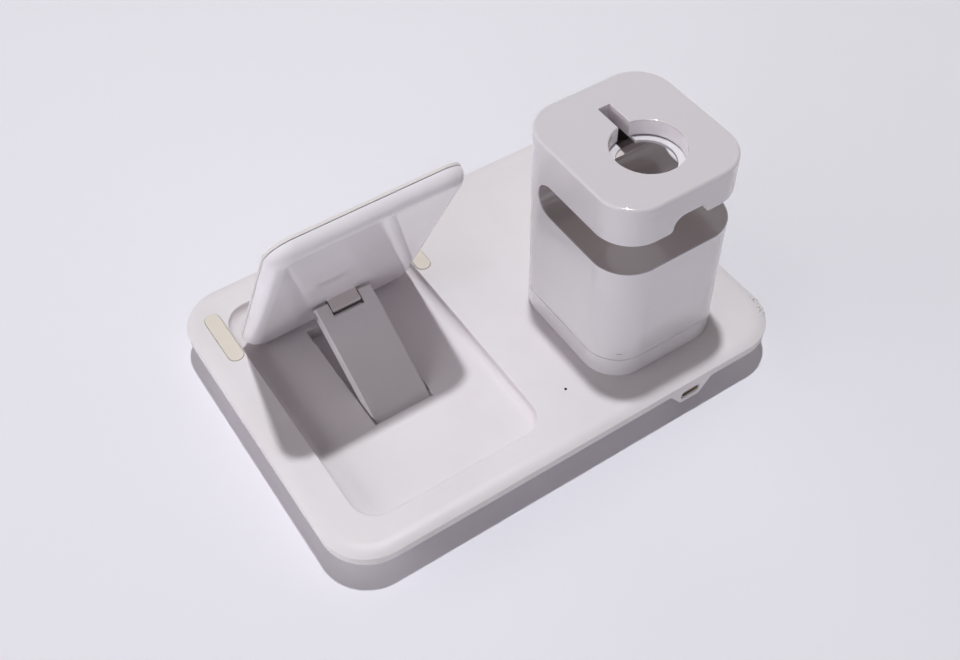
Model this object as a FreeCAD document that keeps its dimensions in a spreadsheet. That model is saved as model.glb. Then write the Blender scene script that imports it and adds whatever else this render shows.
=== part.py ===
import FreeCAD, Part
import math
import os
import re

import Sketcher
from FreeCAD import Placement, Rotation, Vector

# Desk charging station: a base with a fold-up phone panel and a tower for a watch puck.
# Millimetres, +Z up. The origin lies on the table under the middle of the base.
# X runs along the base from the panel to the tower, -Y is the side with the power socket.
# The panel stands raised, as in use.

SIZES = {
    # Base
    "base_length": 212.0,
    "base_width": 153.8,
    "base_corner": 20.5,
    "crown_width": 5.8,
    "crown_drop": 1.95,
    "top_thickness": 2.6,
    "rim_round": 0.2,
    "shell_wall": 2.4,
    "seam_groove": 0.35,
    "seam_groove_depth": 0.8,
    "strip_height": 3.5,
    "strip_inset": 0.2,
    "belly_lip": 1.6,
    "belly_inset": 14.0,
    "belly_bottom": 2.0,
    "belly_floor": 2.0,
    # Recess for the folded panel, and the well for the leg in its floor
    "recess_left_gap": 16.15,
    "recess_width": 83.1,
    "recess_length": 123.7,
    "recess_corner": 11.0,
    "recess_depth": 5.5,
    "recess_cove": 3.5,
    "recess_lip": 0.5,
    "tray_wall": 2.0,
    "well_side_gap": 0.6,
    "well_heel_gap": 0.4,
    "well_length": 58.6,
    "well_depth": 6.5,
    "well_wall": 2.0,
    "well_clearance": 1.5,
    # Grip pads
    "pad_width": 6.8,
    "pad_length": 29.0,
    "pad_end_gap": 12.5,
    "pad_edge_gap": 0.6,
    "pad_thickness": 1.2,
    "pad_proud": 0.3,
    "pad_fit": 0.1,
    # Status light
    "light_recess_gap": 15.7,
    "light_near_gap": 24.45,
    "light_diameter": 1.2,
    "light_flange": 3.4,
    "light_flange_height": 1.0,
    "light_stem": 2.2,
    "light_gap": 0.3,
    "light_sink": 0.3,
    "light_fit": 0.05,
    # Leg
    "pivot_near_gap": 43.2,
    "leg_length": 49.8,
    "leg_width": 26.4,
    "leg_thickness": 4.8,
    "leg_angle": 31.1,
    "leg_tip": 2.7,
    "leg_edge": 0.4,
    "leg_bevel": 0.8,
    "pin_diameter": 3.0,
    "pin_fit": 0.05,
    "washer_diameter": 5.0,
    "washer_gap": 0.1,
    # Panel
    "panel_length": 120.5,
    "panel_width": 79.8,
    "panel_corner": 10.5,
    "panel_thickness": 7.6,
    "panel_roll": 5.6,
    "panel_wall": 1.8,
    "panel_angle": 61.7,
    "panel_pivot_depth": 4.0,
    "panel_pivot_height": 28.7,
    "cover_thickness": 1.4,
    "cover_seam": 0.3,
    "cover_edge": 0.6,
    "cover_tongue": 1.0,
    "notch_width": 46.5,
    "notch_depth": 3.5,
    "lug_width": 13.2,
    "lug_side_gap": 0.4,
    "lug_end_gap": 1.0,
    "coil_outer": 44.0,
    "coil_inner": 20.0,
    "coil_thickness": 1.2,
    "ferrite_side": 48.0,
    "ferrite_thickness": 0.8,
    # Tower
    "tower_right_gap": 22.05,
    "tower_near_gap": 15.3,
    "tower_width": 61.0,
    "tower_depth": 66.5,
    "tower_corner": 16.0,
    "tower_height": 94.2,
    "tower_round": 1.1,
    "tower_wall": 2.2,
    "tower_roof": 2.6,
    "ring_height": 10.0,
    "ring_floor": 3.0,
    "seam_gap": 0.25,
    "slot_floor": 60.9,
    "slot_height": 15.4,
    "slot_end": 17.8,
    "shelf_wall": 2.0,
    "arch_x": 0.5,
    "arch_width": 15.0,
    "arch_rise": 6.8,
    "arch_left_round": 5.0,
    "arch_right_round": 2.8,
    "arch_flare": 1.7,
    "skirt_step": 2.2,
    "post_diameter": 7.0,
    "post_sink": 0.4,
    "post_gap": 0.4,
    "post_height": 16.0,
    "lead_hole_width": 20.0,
    "lead_hole_length": 6.0,
    "tower_edge": 0.4,
    # Keyhole for the watch puck
    "puck_shift": 0.8,
    "puck_near_gap": 12.15,
    "puck_bore": 29.2,
    "bore_depth": 7.4,
    "bore_wall": 2.0,
    "ledge_gap": 0.4,
    "ledge_fit": 0.3,
    "ledge_thickness": 1.2,
    "ledge_hole": 23.4,
    "ledge_slot_width": 7.4,
    "ledge_slot_round": 1.5,
    "lead_slot_width": 5.4,
    "lead_slot_reach": 26.8,
    # Power socket
    "port_shift": 1.75,
    "port_drop": 9.45,
    "socket_width": 8.94,
    "socket_height": 3.26,
    "socket_length": 7.35,
    "socket_wall": 0.35,
    "socket_round": 1.2,
    "socket_sink": 0.4,
    "socket_fit": 0.35,
    "tongue_width": 6.6,
    "tongue_height": 0.7,
    "tongue_length": 4.6,
    "mouth_round": 0.5,
    "boss_top_width": 21.2,
    "boss_bottom_width": 9.6,
    "boss_drop": 13.9,
    "boss_depth": 11.0,
    "boss_round": 2.8,
    "boss_flare": 2.0,
    "boss_bar": 2.0,
    "boss_bar_reach": 6.0,
    # Circuit board and what stands on it
    "board_right_gap": 32.0,
    "board_near_gap": 9.0,
    "board_recess_gap": 10.75,
    "board_length": 84.0,
    "board_thickness": 1.2,
    "board_tab_width": 12.0,
    "board_tab_reach": 5.0,
    "board_tab_gap": 0.4,
    "standoff_side_gap": 11.0,
    "standoff_end_gap": 12.0,
    "standoff_diameter": 6.0,
    "inductor_side": 10.0,
    "inductor_height": 3.0,
    "chip_side": 7.0,
    "chip_height": 1.0,
    "chip_spacing": 22.0,
    "capacitor_diameter": 5.0,
    "capacitor_height": 3.2,
    "capacitor_spacing": 7.0,
    "capacitor_screw_gap": 2.316,
    "lamp_side": 1.6,
    "lamp_height": 0.8,
    # Feet and screws
    "foot_end_gap": 24.0,
    "foot_side_gap": 32.0,
    "foot_diameter": 14.0,
    "foot_seat": 1.0,
    "foot_fit": 0.1,
    "base_boss_diameter": 9.0,
    "base_boss_web": 1.7,
    "base_screw_bite": 4.8,
    "screw_diameter": 3.0,
    "screw_head": 5.6,
    "screw_head_height": 2.0,
    "screw_bite": 6.0,
    "screw_fit": 0.1,
}

# Places and heights that follow from the sizes, so that each piece keeps its gap to what it stands by
PLACES = {
    "base_top": "belly_bottom + belly_floor + well_clearance + well_wall + well_depth + recess_depth",
    "recess_x": "recess_left_gap + recess_width/2 - base_length/2",
    "pivot_y": "pivot_near_gap - recess_length/2",
    "pad_y": "recess_length/2 - pad_end_gap",
    "light_x": "recess_x + recess_width/2 + light_recess_gap",
    "light_y": "light_near_gap - base_width/2",
    "tower_x": "base_length/2 - tower_right_gap - tower_width/2",
    "tower_y": "tower_near_gap + tower_depth/2 - base_width/2",
    "puck_x": "tower_x + puck_shift",
    "puck_y": "tower_y - tower_depth/2 + puck_near_gap + puck_bore/2",
    "port_x": "tower_x + port_shift",
    "port_height": "base_top - port_drop",
    "boss_bottom": "base_top - boss_drop",
    "board_width": "base_length - recess_left_gap - recess_width - board_recess_gap - board_right_gap",
    "board_x": "base_length/2 - board_right_gap - board_width/2",
    "board_y": "board_near_gap + board_length/2 - base_width/2",
    "foot_x": "base_length/2 - foot_end_gap",
    "foot_y": "base_width/2 - foot_side_gap",
    "base_boss_joint": "belly_bottom + foot_seat + screw_fit + screw_head_height + base_boss_web",
}

TOUCH = 1e-4

doc = FreeCAD.newDocument("charging_station")
sheet = doc.addObject("Spreadsheet::Sheet", "sizes")
for row, (alias, value) in enumerate(SIZES.items(), 1):
    sheet.set(f"A{row}", str(value))
    sheet.setAlias(f"A{row}", alias)
doc.recompute()

sub_parts = []


def cells(expression):
    """The expression with every place worked out from sizes and every size pointing at its cell."""
    def point(match):
        word = match.group()
        if word in PLACES:
            return f"({cells(PLACES[word])})"
        return f"sizes.{word}" if word in SIZES else word
    return re.sub(r"[a-z_]+\w*", point, expression)


def number(expression):
    return float(sheet.evalExpression(cells(expression)))


def bind(item, name, expression):
    item.setExpression(name, cells(expression))


# Features

def new_body(label):
    body = doc.addObject("PartDesign::Body", label)
    body.Label = label
    sub_parts.append(body)
    return body


def new_sketch(body, plane, x="0", y="0", z="0"):
    """A sketch on one of the body's own planes, its origin moved in that plane's axes."""
    sketch = body.newObject("Sketcher::SketchObject", "sketch")
    support = [item for item in body.Origin.OriginFeatures if item.Role == plane]
    sketch.AttachmentSupport = [(support[0], "")]
    sketch.MapMode = "FlatFace"
    for axis, place in (("x", x), ("y", y), ("z", z)):
        bind(sketch, f"AttachmentOffset.Base.{axis}", place)
    return sketch


def dimension(sketch, constraint, expression):
    index = sketch.addConstraint(constraint)
    bind(sketch, f"Constraints[{index}]", expression)


def rounded_rectangle(sketch, width, length, radius):
    """Rectangle with round corners, centred on the sketch's origin."""
    half_w, half_l, r = number(width) / 2, number(length) / 2, number(radius)
    centres = [Vector(sx * (half_w - r), sy * (half_l - r), 0)
               for sx, sy in ((1, -1), (1, 1), (-1, 1), (-1, -1))]
    first = len(sketch.Geometry)
    for corner, centre in enumerate(centres):
        before = centres[corner - 1]
        out = Rotation(Vector(0, 0, 1), 90 * corner - 90).multVec(Vector(r, 0, 0))
        sketch.addGeometry(Part.LineSegment(before + out, centre + out))
        circle = Part.Circle(centre, Vector(0, 0, 1), r)
        start = math.radians(90 * corner - 90)
        sketch.addGeometry(Part.ArcOfCircle(circle, start, start + math.pi / 2))
    lines = [first + 2 * corner for corner in range(4)]
    for corner, line in enumerate(lines):
        arc = line + 1
        sketch.addConstraint(Sketcher.Constraint("Tangent", line, 2, arc, 1))
        sketch.addConstraint(Sketcher.Constraint("Tangent", arc, 2, lines[(corner + 1) % 4], 1))
        sketch.addConstraint(Sketcher.Constraint("Vertical" if corner % 2 else "Horizontal", line))
        if corner:
            sketch.addConstraint(Sketcher.Constraint("Equal", first + 1, arc))
    sketch.addConstraint(Sketcher.Constraint("Symmetric", first + 1, 3, first + 5, 3, -1, 1))
    dimension(sketch, Sketcher.Constraint("Radius", first + 1, r), radius)
    dimension(sketch, Sketcher.Constraint("DistanceX", lines[3], 1, lines[1], 1, 2 * half_w), width)
    dimension(sketch, Sketcher.Constraint("DistanceY", lines[0], 1, lines[2], 1, 2 * half_l), length)


def circle(sketch, diameter, x="0", y="0"):
    centre = Vector(number(x), number(y), 0)
    index = sketch.addGeometry(Part.Circle(centre, Vector(0, 0, 1), number(diameter) / 2))
    dimension(sketch, Sketcher.Constraint("Diameter", index, number(diameter)), diameter)
    dimension(sketch, Sketcher.Constraint("DistanceX", -1, 1, index, 3, centre.x), x)
    dimension(sketch, Sketcher.Constraint("DistanceY", -1, 1, index, 3, centre.y), y)


def circles(sketch, diameter, places):
    for x, y in places:
        circle(sketch, diameter, x, y)


def polygon(sketch, corners):
    """Closed outline through the corners, each given as two expressions."""
    points = [Vector(number(x), number(y), 0) for x, y in corners]
    first = len(sketch.Geometry)
    for index, point in enumerate(points):
        sketch.addGeometry(Part.LineSegment(point, points[(index + 1) % len(points)]))
    for index, (x, y) in enumerate(corners):
        line, following = first + index, first + (index + 1) % len(points)
        sketch.addConstraint(Sketcher.Constraint("Coincident", line, 2, following, 1))
        point = points[index]
        dimension(sketch, Sketcher.Constraint("DistanceX", -1, 1, line, 1, point.x), x)
        dimension(sketch, Sketcher.Constraint("DistanceY", -1, 1, line, 1, point.y), y)


def rectangle(sketch, width, length, x="0", y="0"):
    polygon(sketch, [(f"{x} {sx} ({width})/2", f"{y} {sy} ({length})/2")
                     for sx, sy in ("--", "+-", "++", "-+")])


def stadium(sketch, length, width):
    """Two half circles joined by straight sides, long way along the sketch's y."""
    r, half = number(width) / 2, (number(length) - number(width)) / 2
    up, down = Vector(0, half, 0), Vector(0, -half, 0)
    side = Vector(r, 0, 0)
    axis = Vector(0, 0, 1)
    sketch.addGeometry(Part.LineSegment(down + side, up + side))
    sketch.addGeometry(Part.ArcOfCircle(Part.Circle(up, axis, r), 0, math.pi))
    sketch.addGeometry(Part.LineSegment(up - side, down - side))
    sketch.addGeometry(Part.ArcOfCircle(Part.Circle(down, axis, r), math.pi, 2 * math.pi))
    for index in range(4):
        sketch.addConstraint(Sketcher.Constraint("Tangent", index, 2, (index + 1) % 4, 1))
    sketch.addConstraint(Sketcher.Constraint("Vertical", 0))
    sketch.addConstraint(Sketcher.Constraint("Symmetric", 1, 3, 3, 3, -1, 1))
    dimension(sketch, Sketcher.Constraint("Radius", 1, r), f"({width})/2")
    dimension(sketch, Sketcher.Constraint("DistanceY", 3, 3, 1, 3, 2 * half), f"({length}) - ({width})")


def extrude(kind, body, sketch, depth, reverse=False, both_ways=False):
    """Pad or Pocket of a sketch. It has to change the body's volume."""
    before = body.Shape.Volume if body.Tip else 0.0
    feature = body.newObject(f"PartDesign::{kind}", kind.lower())
    feature.Profile = sketch
    feature.SideType = "Symmetric" if both_ways else "One side"
    feature.Reversed = reverse
    bind(feature, "Length", depth)
    doc.recompute()
    change = body.Shape.Volume - before
    grew = change > TOUCH if kind == "Pad" else change < -TOUCH
    if not grew:
        raise ValueError(f"{body.Label}: {kind} changed the volume by {change:.4f}")
    return feature


def pad(body, sketch, depth, **how):
    return extrude("Pad", body, sketch, depth, **how)


def pocket(body, sketch, depth, **how):
    return extrude("Pocket", body, sketch, depth, **how)


def loft(kind, body, lower, upper):
    feature = body.newObject(f"PartDesign::{kind}Loft", "loft")
    feature.Profile = lower
    feature.Sections = [upper]
    feature.Ruled = True
    doc.recompute()


def round_edges(body, keep, radius):
    """Fillet every edge of the body whose box passes the test."""
    tip = body.Tip
    names = [f"Edge{index}" for index, edge in enumerate(tip.Shape.Edges, 1)
             if keep(edge.BoundBox)]
    if not names:
        raise ValueError(f"{body.Label}: no edge to round")
    feature = body.newObject("PartDesign::Fillet", "fillet")
    feature.Base = (tip, names)
    bind(feature, "Radius", radius)
    doc.recompute()


def near(value, target):
    return abs(value - target) < TOUCH


def flat_at(height):
    """Edges that lie level at a height."""
    level = number(height)
    return lambda box: near(box.ZMin, level) and near(box.ZMax, level)


def along_x(*places):
    """Edges along X through one of the places in Y and Z."""
    spots = [(number(y), number(z)) for y, z in places]
    return lambda box: box.XLength > TOUCH and any(
        near(box.YMin, y) and near(box.YMax, y) and near(box.ZMin, z) and near(box.ZMax, z)
        for y, z in spots)


def along_y(*places):
    """Edges along Y through one of the places in X and Z."""
    spots = [(number(x), number(z)) for x, z in places]
    return lambda box: box.YLength > TOUCH and any(
        near(box.XMin, x) and near(box.XMax, x) and near(box.ZMin, z) and near(box.ZMax, z)
        for x, z in spots)


# Lines that several sub-parts share

CROWN_RADIUS = "(crown_width^2 + crown_drop^2)/(2*crown_drop)"
SEAM = "base_top - top_thickness"
STRIP_BOTTOM = f"{SEAM} - strip_height"
RECESS_FLOOR = "base_top - recess_depth"
TRAY_BOTTOM = f"{RECESS_FLOOR} - tray_wall"
WELL_FLOOR = f"{RECESS_FLOOR} - well_depth"
PIVOT_HEIGHT = f"{WELL_FLOOR} + well_heel_gap + leg_thickness/2"
WELL_WIDTH = "leg_width + 2*well_side_gap"
WELL_NEAR = "pivot_y - leg_thickness/2 - well_heel_gap"
WELL_MIDDLE = f"{WELL_NEAR} + well_length/2"
WELL_OUTER = f"{WELL_WIDTH} + 2*well_wall"
SCREW_HOLE = "screw_diameter + 2*screw_fit"
PIN_HOLE = "pin_diameter + 2*pin_fit"
TOWER_TOP = "base_top + tower_height"
RING_TOP = "base_top + ring_height"
LEDGE_TOP = f"{TOWER_TOP} - bore_depth"
LEDGE_BOTTOM = f"{LEDGE_TOP} - ledge_thickness"
SLOT_FLOOR = "base_top + slot_floor"
SLOT_MIDDLE = f"{SLOT_FLOOR} + slot_height/2"
TOWER_FRONT = "tower_y - tower_depth/2"
STRIP_FRONT = "base_width/2 - strip_inset"
BOARD_BOTTOM = "port_height + socket_height/2"
BOARD_TOP = f"{BOARD_BOTTOM} + board_thickness"
PAD_OFFSET = "recess_width/2 + pad_edge_gap + pad_width/2"
FEET = [(f"{sx}foot_x", f"{sy}foot_y") for sx in "-+" for sy in "-+"]
POST_REACH = "(tower_corner - tower_wall + post_sink - post_diameter/2)*sqrt(0.5) - tower_corner"
POSTS = [(f"tower_x {sx} (tower_width/2 + {POST_REACH})", f"tower_y {sy} (tower_depth/2 + {POST_REACH})")
         for sx in "-+" for sy in "-+"]
STANDOFFS = [(f"board_x {sx} (board_width/2 - standoff_side_gap)",
              f"board_y {sy} (board_length/2 - standoff_end_gap)") for sx in "-+" for sy in "-+"]


def base_outline(body, height, inset="0"):
    sketch = new_sketch(body, "XY_Plane", z=height)
    rounded_rectangle(sketch, f"base_length - 2*({inset})", f"base_width - 2*({inset})",
                      f"base_corner - ({inset})")
    return sketch


def base_ring(body, height, inset, outset):
    """Band round the base's outline, from inside it to well outside it."""
    sketch = base_outline(body, height, inset)
    rounded_rectangle(sketch, f"base_length + 2*({outset})", f"base_width + 2*({outset})",
                      f"base_corner + ({outset})")
    return sketch


def recess_outline(body, height, outset="0"):
    sketch = new_sketch(body, "XY_Plane", x="recess_x", z=height)
    rounded_rectangle(sketch, f"recess_width + 2*({outset})", f"recess_length + 2*({outset})",
                      f"recess_corner + ({outset})")
    return sketch


def tower_outline(body, height, inset="0"):
    sketch = new_sketch(body, "XY_Plane", x="tower_x", y="tower_y", z=height)
    rounded_rectangle(sketch, f"tower_width - 2*({inset})", f"tower_depth - 2*({inset})",
                      f"tower_corner - ({inset})")
    return sketch


def level_circles(body, height, diameter, places):
    sketch = new_sketch(body, "XY_Plane", z=height)
    circles(sketch, diameter, places)
    return sketch


def well_rectangle(body, height, outset):
    sketch = new_sketch(body, "XY_Plane", x="recess_x", y=WELL_MIDDLE, z=height)
    rectangle(sketch, f"{WELL_WIDTH} + 2*({outset})", f"well_length + 2*({outset})")
    return sketch


# Base

def base_top_shell():
    body = new_body("base_top_shell")
    # Crowned edge: a full roll on a wider slab, trimmed to the base's outline and to the seam
    overhang = f"{CROWN_RADIUS} - crown_width"
    slab = f"{CROWN_RADIUS} + top_thickness"
    pad(body, base_outline(body, "base_top", f"-({overhang})"), slab, reverse=True)
    round_edges(body, flat_at("base_top"), CROWN_RADIUS)
    pocket(body, base_ring(body, "base_top", "0", f"2*({overhang})"), slab)
    pocket(body, base_outline(body, f"base_top - ({slab})", f"-({overhang})"), CROWN_RADIUS, reverse=True)
    round_edges(body, flat_at("base_top - crown_drop"), "rim_round")
    # Tray of the recess, with the leg's well hanging below it
    pad(body, recess_outline(body, TRAY_BOTTOM, "tray_wall"), "recess_depth + tray_wall - top_thickness/2")
    pad(body, well_rectangle(body, f"{WELL_FLOOR} - well_wall", "well_wall"), "well_depth + well_wall/2")
    pocket(body, recess_outline(body, "base_top"), "recess_depth")
    round_edges(body, flat_at(RECESS_FLOOR), "recess_cove")
    pocket(body, well_rectangle(body, RECESS_FLOOR, "0"), "well_depth")
    half_width = number("recess_width/2") + TOUCH
    half_length = number("recess_length/2") + TOUCH
    middle = number("recess_x")
    level = flat_at("base_top")
    round_edges(body, lambda box: level(box) and abs(box.Center.x - middle) < half_width
                and abs(box.Center.y) < half_length, "recess_lip")
    # Bosses for the base screws, under the tray on one side and under the cover on the other
    for ceiling, places in ((f"{RECESS_FLOOR} - tray_wall/2", FEET[:2]),
                            ("base_top - top_thickness/2", FEET[2:])):
        bosses = level_circles(body, "base_boss_joint", "base_boss_diameter", places)
        pad(body, bosses, f"{ceiling} - base_boss_joint")
    pocket(body, level_circles(body, "base_boss_joint", SCREW_HOLE, FEET), "base_screw_bite + screw_fit",
           reverse=True)
    # Seats of the grip pads, the light's hole, the tower's screw holes and the leg's pin holes
    for side in "-+":
        seat = new_sketch(body, "XY_Plane", x=f"recess_x {side} ({PAD_OFFSET})", y="pad_y", z="base_top")
        stadium(seat, "pad_length + 2*pad_fit", "pad_width + 2*pad_fit")
        pocket(body, seat, "pad_thickness - pad_proud")
    light = level_circles(body, "base_top", "light_diameter + 2*light_fit", [("light_x", "light_y")])
    pocket(body, light, "top_thickness")
    pocket(body, level_circles(body, "base_top", SCREW_HOLE, POSTS), "top_thickness")
    pin = new_sketch(body, "YZ_Plane", x="pivot_y", y=PIVOT_HEIGHT, z="recess_x")
    circle(pin, PIN_HOLE)
    pocket(body, pin, WELL_OUTER, both_ways=True)


def base_bottom_shell():
    body = new_body("base_bottom_shell")
    # Boss of the power socket, flush with the strip and flared into it
    boss = new_sketch(body, "XZ_Plane", x="port_x", z=STRIP_FRONT)
    polygon(boss, [("-boss_top_width/2 - boss_bar_reach", f"{STRIP_BOTTOM} + boss_bar"),
                   ("-boss_top_width/2 - boss_bar_reach", STRIP_BOTTOM),
                   ("-boss_top_width/2", STRIP_BOTTOM),
                   ("-boss_bottom_width/2", "boss_bottom"),
                   ("boss_bottom_width/2", "boss_bottom"),
                   ("boss_top_width/2", STRIP_BOTTOM),
                   ("boss_top_width/2 + boss_bar_reach", STRIP_BOTTOM),
                   ("boss_top_width/2 + boss_bar_reach", f"{STRIP_BOTTOM} + boss_bar")])
    pad(body, boss, "boss_depth", reverse=True)
    for end, height, radius in (("top", STRIP_BOTTOM, "boss_flare"), ("bottom", "boss_bottom", "boss_round")):
        corners = [(f"port_x {side} boss_{end}_width/2", height) for side in "-+"]
        round_edges(body, along_y(*corners), radius)
    pad(body, base_outline(body, STRIP_BOTTOM, "strip_inset"), "strip_height")
    pocket(body, base_ring(body, SEAM, "strip_inset + seam_groove_depth", "shell_wall"), "seam_groove")
    loft("Additive", body, base_outline(body, "belly_bottom", "belly_inset"),
         base_outline(body, STRIP_BOTTOM, "belly_lip"))
    pocket(body, base_outline(body, SEAM, "shell_wall"), "strip_height")
    loft("Subtractive", body,
         base_outline(body, "belly_bottom + belly_floor", "belly_inset + belly_floor"),
         base_outline(body, STRIP_BOTTOM, "belly_lip + shell_wall"))
    # Screw bosses, board standoffs and the seats of the feet
    pad(body, level_circles(body, "belly_bottom + belly_floor/2", "base_boss_diameter", FEET),
        "base_boss_joint - belly_bottom - belly_floor/2")
    pad(body, level_circles(body, "belly_bottom + belly_floor/2", "standoff_diameter", STANDOFFS),
        f"{BOARD_BOTTOM} - belly_bottom - belly_floor/2")
    pocket(body, level_circles(body, "belly_bottom", "foot_diameter + 2*foot_fit", FEET), "foot_seat",
           reverse=True)
    pocket(body, level_circles(body, "belly_bottom", "screw_head + 2*screw_fit", FEET),
           "foot_seat + screw_fit + screw_head_height", reverse=True)
    pocket(body, level_circles(body, "base_boss_joint", SCREW_HOLE, FEET), "base_boss_joint - belly_bottom")
    pocket(body, level_circles(body, BOARD_BOTTOM, SCREW_HOLE, STANDOFFS), "screw_bite + screw_fit")
    # Mouth of the socket and the clearance for the board's tab above it
    mouth = new_sketch(body, "XZ_Plane", x="port_x", y="port_height", z=STRIP_FRONT)
    rounded_rectangle(mouth, "socket_width + 2*socket_fit", "socket_height + 2*socket_fit",
                      "socket_round + socket_fit")
    pocket(body, mouth, "boss_depth")
    front = -number(STRIP_FRONT)
    middle = Vector(number("port_x"), front, number("port_height"))
    half = Vector(number("socket_width/2 + socket_fit"), 0, number("socket_height/2 + socket_fit"))
    round_edges(body, lambda box: near(box.YMin, front) and near(box.YMax, front)
                and abs(box.Center.x - middle.x) < half.x + TOUCH
                and abs(box.Center.z - middle.z) < half.z + TOUCH, "mouth_round")
    tab_near = "board_y - board_length/2 - board_tab_reach - board_tab_gap"
    tab_middle = f"{BOARD_BOTTOM} + board_thickness/2"
    tab = new_sketch(body, "XZ_Plane", x="port_x", y=tab_middle, z=f"-({tab_near})")
    rectangle(tab, "board_tab_width + 2*board_tab_gap", "board_thickness + 2*board_tab_gap")
    pocket(body, tab, "boss_depth")


def grip_pad(label, side):
    body = new_body(label)
    strip = new_sketch(body, "XY_Plane", x=f"recess_x {side} ({PAD_OFFSET})", y="pad_y",
                       z="base_top + pad_proud")
    stadium(strip, "pad_length", "pad_width")
    pad(body, strip, "pad_thickness", reverse=True)
    round_edges(body, flat_at("base_top + pad_proud"), "pad_proud*0.8")


def status_light():
    """Light pipe from the lamp on the board up to the pin-hole."""
    body = new_body("status_light")
    place = [("light_x", "light_y")]
    pad(body, level_circles(body, SEAM, "light_diameter", place), "top_thickness - light_sink")
    pad(body, level_circles(body, SEAM, "light_flange", place), "light_flange_height", reverse=True)
    pad(body, level_circles(body, SEAM, "light_stem", place),
        f"{SEAM} - ({BOARD_TOP}) - lamp_height - light_gap", reverse=True)


def usb_c_socket():
    body = new_body("usb_c_socket")
    front = f"{STRIP_FRONT} - socket_sink"
    shell = new_sketch(body, "XZ_Plane", x="port_x", y="port_height", z=front)
    rounded_rectangle(shell, "socket_width", "socket_height", "socket_round")
    pad(body, shell, "socket_length", reverse=True)
    mouth = new_sketch(body, "XZ_Plane", x="port_x", y="port_height", z=front)
    rounded_rectangle(mouth, "socket_width - 2*socket_wall", "socket_height - 2*socket_wall",
                      "socket_round - socket_wall")
    pocket(body, mouth, "tongue_length + socket_wall")
    tongue = new_sketch(body, "XZ_Plane", x="port_x", y="port_height", z=f"{front} - socket_wall")
    rectangle(tongue, "tongue_width", "tongue_height")
    pad(body, tongue, "tongue_length", reverse=True)


def main_board():
    body = new_body("main_board")
    board = new_sketch(body, "XY_Plane", x="board_x", y="board_y", z=BOARD_BOTTOM)
    rectangle(board, "board_width", "board_length")
    pad(body, board, "board_thickness")
    tab = new_sketch(body, "XY_Plane", x="port_x", y="board_y - board_length/2", z=BOARD_BOTTOM)
    rectangle(tab, "board_tab_width", "2*board_tab_reach")
    pad(body, tab, "board_thickness")
    pocket(body, level_circles(body, BOARD_TOP, SCREW_HOLE, STANDOFFS), "board_thickness")


# Groups of small pieces

def cylinder(name, x, y, z, diameter, height, axis=Vector(0, 0, 1)):
    item = doc.addObject("Part::Cylinder", name)
    item.Placement = Placement(Vector(), Rotation(Vector(0, 0, 1), axis))
    bind(item, "Radius", f"({diameter})/2")
    bind(item, "Height", height)
    for letter, place in (("x", x), ("y", y), ("z", z)):
        bind(item, f"Placement.Base.{letter}", place)
    return item


def box(name, x, y, z, width, length, height):
    """Box with its lowest face centred on a point."""
    item = doc.addObject("Part::Box", name)
    for axis, measure in (("Width", length), ("Length", width), ("Height", height)):
        bind(item, axis, measure)
    bind(item, "Placement.Base.x", f"{x} - ({width})/2")
    bind(item, "Placement.Base.y", f"{y} - ({length})/2")
    bind(item, "Placement.Base.z", z)
    return item


def group(label, pieces):
    compound = doc.addObject("Part::Compound", label)
    compound.Label = label
    compound.Links = pieces
    doc.recompute()
    sub_parts.append(compound)


def screws(label, places, seat, reach, upward):
    """Pan-head screws, each with its head on a seat and its shank going up or down from it."""
    pieces = []
    for x, y in places:
        head_z, shank_z = (f"{seat} - screw_head_height", seat)
        if not upward:
            head_z, shank_z = (seat, f"{seat} - ({reach})")
        screw = doc.addObject("Part::Fuse", "screw")
        screw.Base = cylinder("screw_top", x, y, head_z, "screw_head", "screw_head_height")
        screw.Tool = cylinder("screw_shank", x, y, shank_z, "screw_diameter", reach)
        pieces.append(screw)
    group(label, pieces)


def rubber_feet():
    pieces = []
    for x, y in FEET:
        foot = cylinder("foot", x, y, "0", "foot_diameter", "belly_bottom + foot_seat")
        pieces.append(foot)
    group("rubber_feet", pieces)


def board_parts():
    """Power coil, two chips, three capacitors and the lamp under the light pipe."""
    row = "board_y + chip_spacing"
    left_post = POSTS[0][0]
    first = f"{left_post} + screw_head/2 + capacitor_screw_gap + capacitor_diameter/2"
    pieces = [box("inductor", "board_x - chip_spacing/2", "board_y + chip_spacing/2", BOARD_TOP,
                  "inductor_side", "inductor_side", "inductor_height"),
              box("lamp", "light_x", "light_y", BOARD_TOP, "lamp_side", "lamp_side", "lamp_height")]
    for y in ("board_y", "board_y - chip_spacing"):
        pieces.append(box("chip", "board_x", y, BOARD_TOP, "chip_side", "chip_side", "chip_height"))
    for step in range(3):
        pieces.append(cylinder("capacitor", f"{first} + capacitor_spacing*{step}", row, BOARD_TOP,
                               "capacitor_diameter", "capacitor_height"))
    group("board_parts", pieces)


# Leg, lying along Y from its own pivot, front face up

LEG_END = "leg_length + leg_tip"
NOTCH_FLOOR = "leg_length - leg_thickness/2 - lug_end_gap"


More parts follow.
